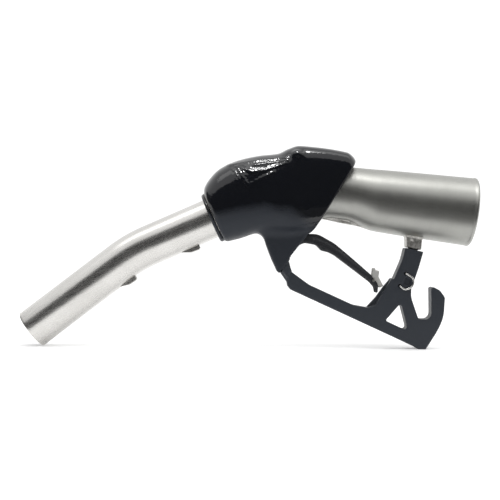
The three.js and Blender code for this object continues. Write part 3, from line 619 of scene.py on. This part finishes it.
LEVER_ROOM = [[90, 60], [95, 119.2], [60, 119.6], [46, 114], [36, 84], [40, 60]]
RIB_ROOM = [[60, 123], [90, 116], [90, 140], [60, 140]]
LIP_CENTRE, LIP_SIZE, LIP_R = 2.1, 2.1, 22.2  # ring round the nose: place, thickness, radius
COLLAR_R = 21.6
KNOB_X, KNOB_Y, KNOB_Z, KNOB_R = 44, 28.5, 181, 3.4  # the bump on each shoulder
CREASE_HEIGHT = 1.0


def boot_distance(block):
    """The boot's outer form, from its sections."""
    low, high, half, square = (
        smooth_through(BOOT_SECTIONS[:, 0], BOOT_SECTIONS[:, column], block.x).astype(np.float32)
        for column in (1, 2, 3, 4))
    across = np.abs(block.y) / half
    up = np.abs(block.z - (low + high) / 2) / ((high - low) / 2)
    form = (across**square + up**square) ** (1 / square) - 1
    slope = np.sqrt(sum(part**2 for part in np.gradient(form, block.step)))
    return form / np.maximum(slope, 1e-3)


def crease_height(block, creases, side):
    """How far the creases of one side stand proud."""
    height = np.zeros(np.broadcast(block.x, block.z).shape, np.float32)
    for ax, az, bx, bz, tall, wide in creases:
        ex, ez = bx - ax, bz - az
        share = np.clip(((block.x - ax) * ex + (block.z - az) * ez) / (ex * ex + ez * ez), 0, 1)
        wander = 0.35 * np.sin(block.x * 1.9 + az) + 0.25 * np.sin(block.z * 2.7 + bx)
        gap = np.hypot(block.x - ax - share * ex, block.z - az - share * ez) + wander
        height = np.maximum(height, CREASE_HEIGHT * tall * np.exp(-((gap / wide) ** 2)))
    return height * np.clip(side * block.y / 6, 0, 1)


def make_boot():
    block = Block((-56, -36, 68), (104, 36, 193), 0.8)
    form = boot_distance(block)
    nose = SPOUT_AXIS.along(block.x, block.z) + 0 * block.y
    rear = REAR_EDGE.along(block.x, block.z) + 0 * block.y
    outside = smooth_cut(form, nose - 3.4, 4.0)
    skirt = block.slab(SKIRT, SKIRT_HALF, 2.5)
    outside = smooth_join(outside, skirt, 9.0)
    radius = np.hypot(SPOUT_AXIS.above(block.x, block.z), block.y)
    lip = np.hypot(nose - LIP_CENTRE, np.maximum(radius - LIP_R, 0)) - LIP_SIZE
    collar = block.rod(SPOUT_AXIS, 0.6, 7, COLLAR_R)
    outside = smooth_join(smooth_join(outside, collar, 2.0), lip, 1.0)
    outside = -smooth_join(-outside, -rear, 1.6)
    knob = np.sqrt((block.x - KNOB_X) ** 2 + (np.abs(block.y) - KNOB_Y) ** 2
                   + ((block.z - KNOB_Z) * 1.2) ** 2) - KNOB_R
    outside = smooth_join(outside, knob, 5.0)
    outside = outside - crease_height(block, NEAR_CREASES, -1) - crease_height(block, FAR_CREASES, 1)
    outside = np.maximum(outside, np.abs(block.y) - BOOT_HALF)
    inside = np.maximum(form + BOOT_WALL, 3.3 - nose)
    field = smooth_cut(outside, inside, 0.8)
    for room in (
        block.slab(LEG_ROOM, CHEEK_OUT + GAP),
        block.slab(LEVER_ROOM, CHEEK_IN - GAP),
        block.slab(RIB_ROOM, 3.9),
        block.rod(SPOUT_AXIS, -5, 20, SPOUT_R + 0.35),
    ):
        field = smooth_cut(field, room, 0.7)
    boot = block.skin("scuff_boot_fine", field)
    return finished(boot, "body", "black_vinyl", black_vinyl, "scuff_boot")


boot = make_boot()

# ---- Lever guard -----------------------------------------------------------------------------

GUARD_LEG = [[10.6, 120.4], [11.4, 114], [17, 112.6], [17.6, 109], [20.4, 98.2, 20], [25.6, 85.6, 20],
             [31.2, 73.2], [36, 66], [40.4, 73], [37.3, 82.2], [37.2, 86.4, 4], [62, 117.6], [64, 120.4]]
GUARD_FRAME = [
    [29.7, 71.3], [36, 62.3, 3], [36.6, 58.6, 2], [39.4, 55.2, 2], [156.5, 2.4, 10], [160, 0, 2],
    [167.4, 0, 1], [178.3, 17.2, 40], [184.2, 30, 60], [185.2, 49.2, 4], [180.4, 55.6, 6],
    [174.4, 58.8, 1.2], [172, 57.8, 1.2],
    [172.6, 28.4, 6.6], [160.4, 28.4, 3], [153.2, 49, 20], [153.4, 57, 10], [160, 76, 40], [164.4, 91.8],
    [147.3, 95.7, 1], [144.6, 84, 40], [136.9, 66.1], [134.6, 66.4], [119.8, 41.4], [111.8, 38.9, 3],
    [99, 41.1, 12], [57.4, 59.8, 24], [37.6, 74, 12], [38.3, 81.8], [34, 82],
]
GUARD_RACK = [[112.2, 39.6], [124, 42], [140, 62], [136.4, 66.4], [134.4, 66.7, 0.6], [127.9, 58.9],
              [120.6, 48.7]]
GUARD_WINDOW = [[129.2, 26.8, 1.4], [150.6, 17, 2.4], [143.7, 43.6, 2]]
GUARD_CHANNEL = [[8, 125], [8, 112], [21.4, 112], [24.4, 98.8], [29.2, 87.2], [33, 80.5], [48, 80.5],
                 [70, 125]]
WIRE_RECESS = [[146, 60.4, 1.5], [152.6, 60.2, 1.5], [152.8, 66, 1.5], [147, 68.2, 1.5]]
POST_SOCKET = [[151.2, 83.6], [159.4, 83.6], [162, 99], [150.8, 99]]
WIRE_ENDS = [(142.4, 59.7), (147.9, 71.4)]


def make_guard():
    block = Block((8, -14, -2), (188, 14, 123), 0.7)
    leg = block.slab(GUARD_LEG, CHEEK_OUT, 1.2)
    body = block.slab(GUARD_FRAME, GUARD_HALF, 1.2)
    rack = block.slab(GUARD_RACK, RACK_HALF, 0.8)
    field = smooth_join(smooth_join(leg, body, 2.0), rack, 0.8)
    field = smooth_cut(field, block.slab(GUARD_WINDOW, 20), 1.0)
    field = smooth_cut(field, block.slab(GUARD_CHANNEL, CHEEK_IN), 0.6)
    field = smooth_cut(field, block.cross_hole(*GUARD_SCREW, 2.3), 0.4)
    field = smooth_cut(field, block.slab(POST_SOCKET, 3.4), 0.5)
    for x, z in WIRE_ENDS:
        field = smooth_cut(field, np.maximum(block.cross_hole(x, z, 1.6), block.y + 5), 0.4)
    field = smooth_cut(field, block.slab(WIRE_RECESS, 4, 0, -11.6), 0.6)
    guard = block.skin("lever_guard_fine", field)
    return finished(guard, "body", "black_coating", black_coating, "lever_guard")


make_guard()

# ---- Lever and hold-open clip ----------------------------------------------------------------

LEVER_ARM = [
    [27.2, 93, 5], [40, 93.2, 8], [52.4, 99.4, 8], [63.4, 97.5, 6], [68.4, 92.2, 4], [75.2, 90.6, 8],
    [81, 87.7, 12], [114.4, 62.8, 5], [118.7, 58, 4], [119.7, 52.2, 1], [122.2, 53.2, 1.5],
    [122.6, 61, 5], [115.3, 70.2, 20], [92.3, 89.7, 40], [80.9, 99.1, 30], [65, 107.9, 16],
    [47.8, 107.9, 1.5], [45, 105.2, 2], [27.2, 105.2, 5],
]
LEVER_FLUTE = [[60, 100.6, 3], [72, 95.4, 4], [84, 88.6, 6], [111, 68.6, 3], [112.6, 70.2, 2], [86, 90.9, 6],
               [74, 98.8, 4], [62, 103.6, 3]]


def make_lever():
    block = Block((24, -9, 49), (126, 9, 111), 0.6)
    field = block.slab(LEVER_ARM, LEVER_HALF, 1.8)
    for side in (-1, 1):
        flute = block.slab(LEVER_FLUTE, 1.0, 0.0, side * (LEVER_HALF + 0.2))
        field = smooth_cut(field, flute, 1.0)
    fork = np.maximum(block.x - 41.4, np.abs(block.y) - 3.5) + 0 * block.z
    tip_fork = np.maximum(108 - block.x, np.abs(block.y) - FORK_HALF) + 0 * block.z
    for room in (fork, tip_fork, block.cross_hole(LATCH_AXIS.x, LATCH_AXIS.z, 2.15),
                 block.cross_hole(*CLIP_PIN, 1.4)):
        field = smooth_cut(field, room, 0.6)
    lever = block.skin("lever_fine", field)
    return finished(lever, "lever", "black_coating", lever_coating, "lever")


make_lever()


def make_clip():
    side = [[124.1, 57.4, 0.5], [127.4, 59.4, 0.5], [122.9, 68], [123.6, 73, 0.8], [121.6, 74.4, 0.8],
            [120.4, 71.8, 0.8], [119.6, 76.4, 0.8], [117.4, 76, 0.8], [116.7, 69.5, 1], [115.8, 66, 1],
            [116.4, 62.2, 1], [119.6, 62, 1]]
    block = Block((114, -6, 55), (129, 6, 78), 0.3)
    walls = block.slab(side, 0.7, 0.3, 4.1)
    walls = np.minimum(walls, block.slab(side, 0.7, 0.3, -4.1))
    bridge = block.slab([[117.2, 68.2], [122.2, 68.2], [122.4, 70.2], [117.4, 70.2]], 4, 0.4)
    field = smooth_join(walls, bridge, 0.8)
    field = smooth_cut(field, block.cross_hole(*CLIP_PIN, 1.4), 0.2)
    clip = block.skin("hold_open_clip_fine", field)
    return finished(clip, "clip", "steel", clip_steel, "hold_open_clip")


make_clip()

# ---- Retaining wire --------------------------------------------------------------------------

WIRE_R = 0.95
WIRE_Y = -GUARD_HALF - WIRE_R - GAP


def make_wire():
    (low_x, low_z), (high_x, high_z) = WIRE_ENDS
    route = np.array([
        [low_x, -6, low_z], [low_x, WIRE_Y + 1.5, low_z], [low_x + 1.2, WIRE_Y, low_z - 1.2],
        [147.4, WIRE_Y, 56.4], [152.6, WIRE_Y, 58.2], [154.9, WIRE_Y, 62.6],
        [154.2, WIRE_Y, 67], [high_x + 1.6, WIRE_Y, high_z - 1],
        [high_x, WIRE_Y + 1.5, high_z], [high_x, -6, high_z]])
    steps = []
    for i in range(len(route) - 1):
        p0, p1, p2, p3 = (route[min(max(j, 0), len(route) - 1)] for j in (i - 1, i, i + 1, i + 2))
        for t in np.linspace(0, 1, 7, endpoint=False):
            steps.append(0.5 * (2 * p1 + (p2 - p0) * t + (2 * p0 - 5 * p1 + 4 * p2 - p3) * t * t
                                + (3 * p1 - 3 * p2 + p3 - p0) * t**3))
    steps.append(route[-1])
    steps = np.array(steps)
    ways = np.gradient(steps, axis=0)
    ways /= np.linalg.norm(ways, axis=1)[:, None]
    angles = np.linspace(0, 2 * math.pi, 16, endpoint=False)
    points, up = [], np.array((1.0, 0, 0))
    for at, way in zip(steps, ways):
        up = up - way * (up @ way)
        up /= np.linalg.norm(up)
        side = np.cross(way, up)
        points.append(at + WIRE_R * (np.outer(np.cos(angles), up) + np.outer(np.sin(angles), side)))
    sides, rows = len(angles), len(steps)
    faces = []
    for row in range(rows - 1):
        below, above = row * sides, (row + 1) * sides
        faces += [(below + i, below + (i + 1) % sides, above + (i + 1) % sides, above + i)
                  for i in range(sides)]
    faces += [tuple(range(sides)), tuple((rows - 1) * sides + i for i in reversed(range(sides)))]
    mesh = bpy.data.meshes.new("retaining_wire_fine")
    mesh.from_pydata(placed(np.concatenate(points)).tolist(), [], faces)
    mesh.shade_smooth()
    wire = bpy.data.objects.new("retaining_wire_fine", mesh)
    bpy.context.scene.collection.objects.link(wire)
    return finished(wire, "body", "steel", bright_steel, "retaining_wire")


make_wire()

# ---- Carried-over CAD pieces -----------------------------------------------------------------

SLOT_OF_NODE = {part["node"]: part["material_slot"] for part in frame["record"]["subparts"]}


def dress_node(node, obj):
    """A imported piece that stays: its material, softened edges and smooth round faces."""
    obj.data.materials.clear()
    obj.data.materials.append(LOOK_OF_SLOT[SLOT_OF_NODE[node]])
    obj.data.shade_smooth()
    bevel = obj.modifiers.new("softened_edges", "BEVEL")
    bevel.width = 0.15 * MM
    bevel.segments = 2
    bevel.limit_method = "ANGLE"
    bevel.angle_limit = math.radians(40)
    normals = obj.modifiers.new("even_shading", "WEIGHTED_NORMAL")
    normals.keep_sharp = True


for node, obj in frame["nodes"].items():
    if not obj.hide_render:
        dress_node(node, obj)

# ---- Stage, light and camera -----------------------------------------------------------------


FLOOR_BACK, FLOOR_FRONT, FLOOR_SIDE = 6.0, -0.66, 5.0
CARD_Z = 0.002  # the floor flag lies just above the floor
FLOOR_GLOW = 0.22


def make_stage():
    """A pale floor, and dark cards before, beside and below the nozzle for its reflections."""
    corners = [(-FLOOR_SIDE, FLOOR_FRONT), (FLOOR_SIDE, FLOOR_FRONT),
               (FLOOR_SIDE, FLOOR_BACK), (-FLOOR_SIDE, FLOOR_BACK)]
    mesh = bpy.data.meshes.new("floor")
    mesh.from_pydata([(x, y, 0) for x, y in corners], [], [(0, 1, 2, 3)])
    floor = bpy.data.objects.new("floor", mesh)
    look = Look("floor_white", Base_Color=(0.86, 0.86, 0.86, 1), Roughness=0.8)
    look.shader.inputs["Emission Color"].default_value = (1, 1, 1, 1)
    look.shader.inputs["Emission Strength"].default_value = FLOOR_GLOW
    mesh.materials.append(look.material)
    flag = [(-0.6, -0.7), (0.6, -0.7), (0.6, -0.13), (0.12, -0.13), (0.0, -0.25), (-0.6, -0.25)]
    cards = [
        dark_card("dark_card", [
            (-1.7, -1.5, -0.2), (2.6, -1.5, -0.2), (2.6, -1.25, 1.1), (-1.7, -1.25, 1.1)], 0.045),
        dark_card("side_card", [
            (-1.7, -1.5, -0.2), (-1.7, -1.25, 1.1), (-1.7, 0.9, 1.1), (-1.7, 0.9, -0.2)], 0.1),
        dark_card("floor_flag", [(x, y, CARD_Z) for x, y in flag], 0.1),
    ]
    for obj in (floor, *cards):
        bpy.context.scene.collection.objects.link(obj)


def dark_card(name, corners, grey):
    """A card that shows only in reflections and casts no shadow, as a studio flag does."""
    mesh = bpy.data.meshes.new(name)
    mesh.from_pydata(corners, [], [tuple(range(len(corners)))])
    mesh.materials.append(Look(name + "_black", Base_Color=(grey, grey, grey, 1), Roughness=1.0).material)
    card = bpy.data.objects.new(name, mesh)
    card.visible_camera = card.visible_shadow = card.visible_diffuse = False
    return card


def area_light(name, at, target, size, radiance):
    """A rectangular lamp of a given brightness, where white is 1."""
    lamp = bpy.data.lights.new(name, "AREA")
    lamp.shape = "RECTANGLE"
    lamp.size, lamp.size_y = size
    lamp.energy = radiance * math.pi * size[0] * size[1]
    obj = bpy.data.objects.new(name, lamp)
    obj.location = at
    obj.rotation_mode = "QUATERNION"
    obj.rotation_quaternion = (Vector(target) - Vector(at)).to_track_quat("-Z", "Y")
    obj.visible_camera = False
    bpy.context.scene.collection.objects.link(obj)
    return obj


def light_boot_only(light):
    """Keeps a lamp to the boot, whose creases need brighter glints than the rest does."""
    receivers = bpy.data.collections.new("lit_by_" + light.name)
    receivers.objects.link(boot)
    light.light_linking.receiver_collection = receivers


LIT_POINT = (0, 0, 0.1)
WORLD_BRIGHTNESS = 1.12
make_stage()
area_light("ceiling", (0.0, -0.12, 1.4), LIT_POINT, size=(2.4, 0.55), radiance=1.3)
area_light("lamp", (0.0, -0.3, 1.25), LIT_POINT, size=(0.7, 0.07), radiance=16)
light_boot_only(area_light("sparkle", (0.0, -0.36, 1.22), LIT_POINT, size=(0.5, 0.09), radiance=100))
world = bpy.data.worlds.new("studio")
bpy.context.scene.world = world
world.use_nodes = True
world.node_tree.nodes["Background"].inputs[0].default_value = (1, 1, 1, 1)
world.node_tree.nodes["Background"].inputs[1].default_value = WORLD_BRIGHTNESS

CAMERA_ROLL = 0.49  # degrees
camera_data = bpy.data.cameras.new("camera")
camera_data.lens = 72
camera_data.sensor_width = 36
camera = bpy.data.objects.new("camera", camera_data)
camera.location = (0.0019, -0.95, 0.0922)
level = Matrix.Rotation(math.radians(90), 3, "X")
camera.rotation_euler = (level @ Matrix.Rotation(math.radians(CAMERA_ROLL), 3, "Z")).to_euler()
bpy.context.scene.collection.objects.link(camera)
bpy.context.scene.camera = camera
bpy.context.scene.view_settings.view_transform = "Standard"
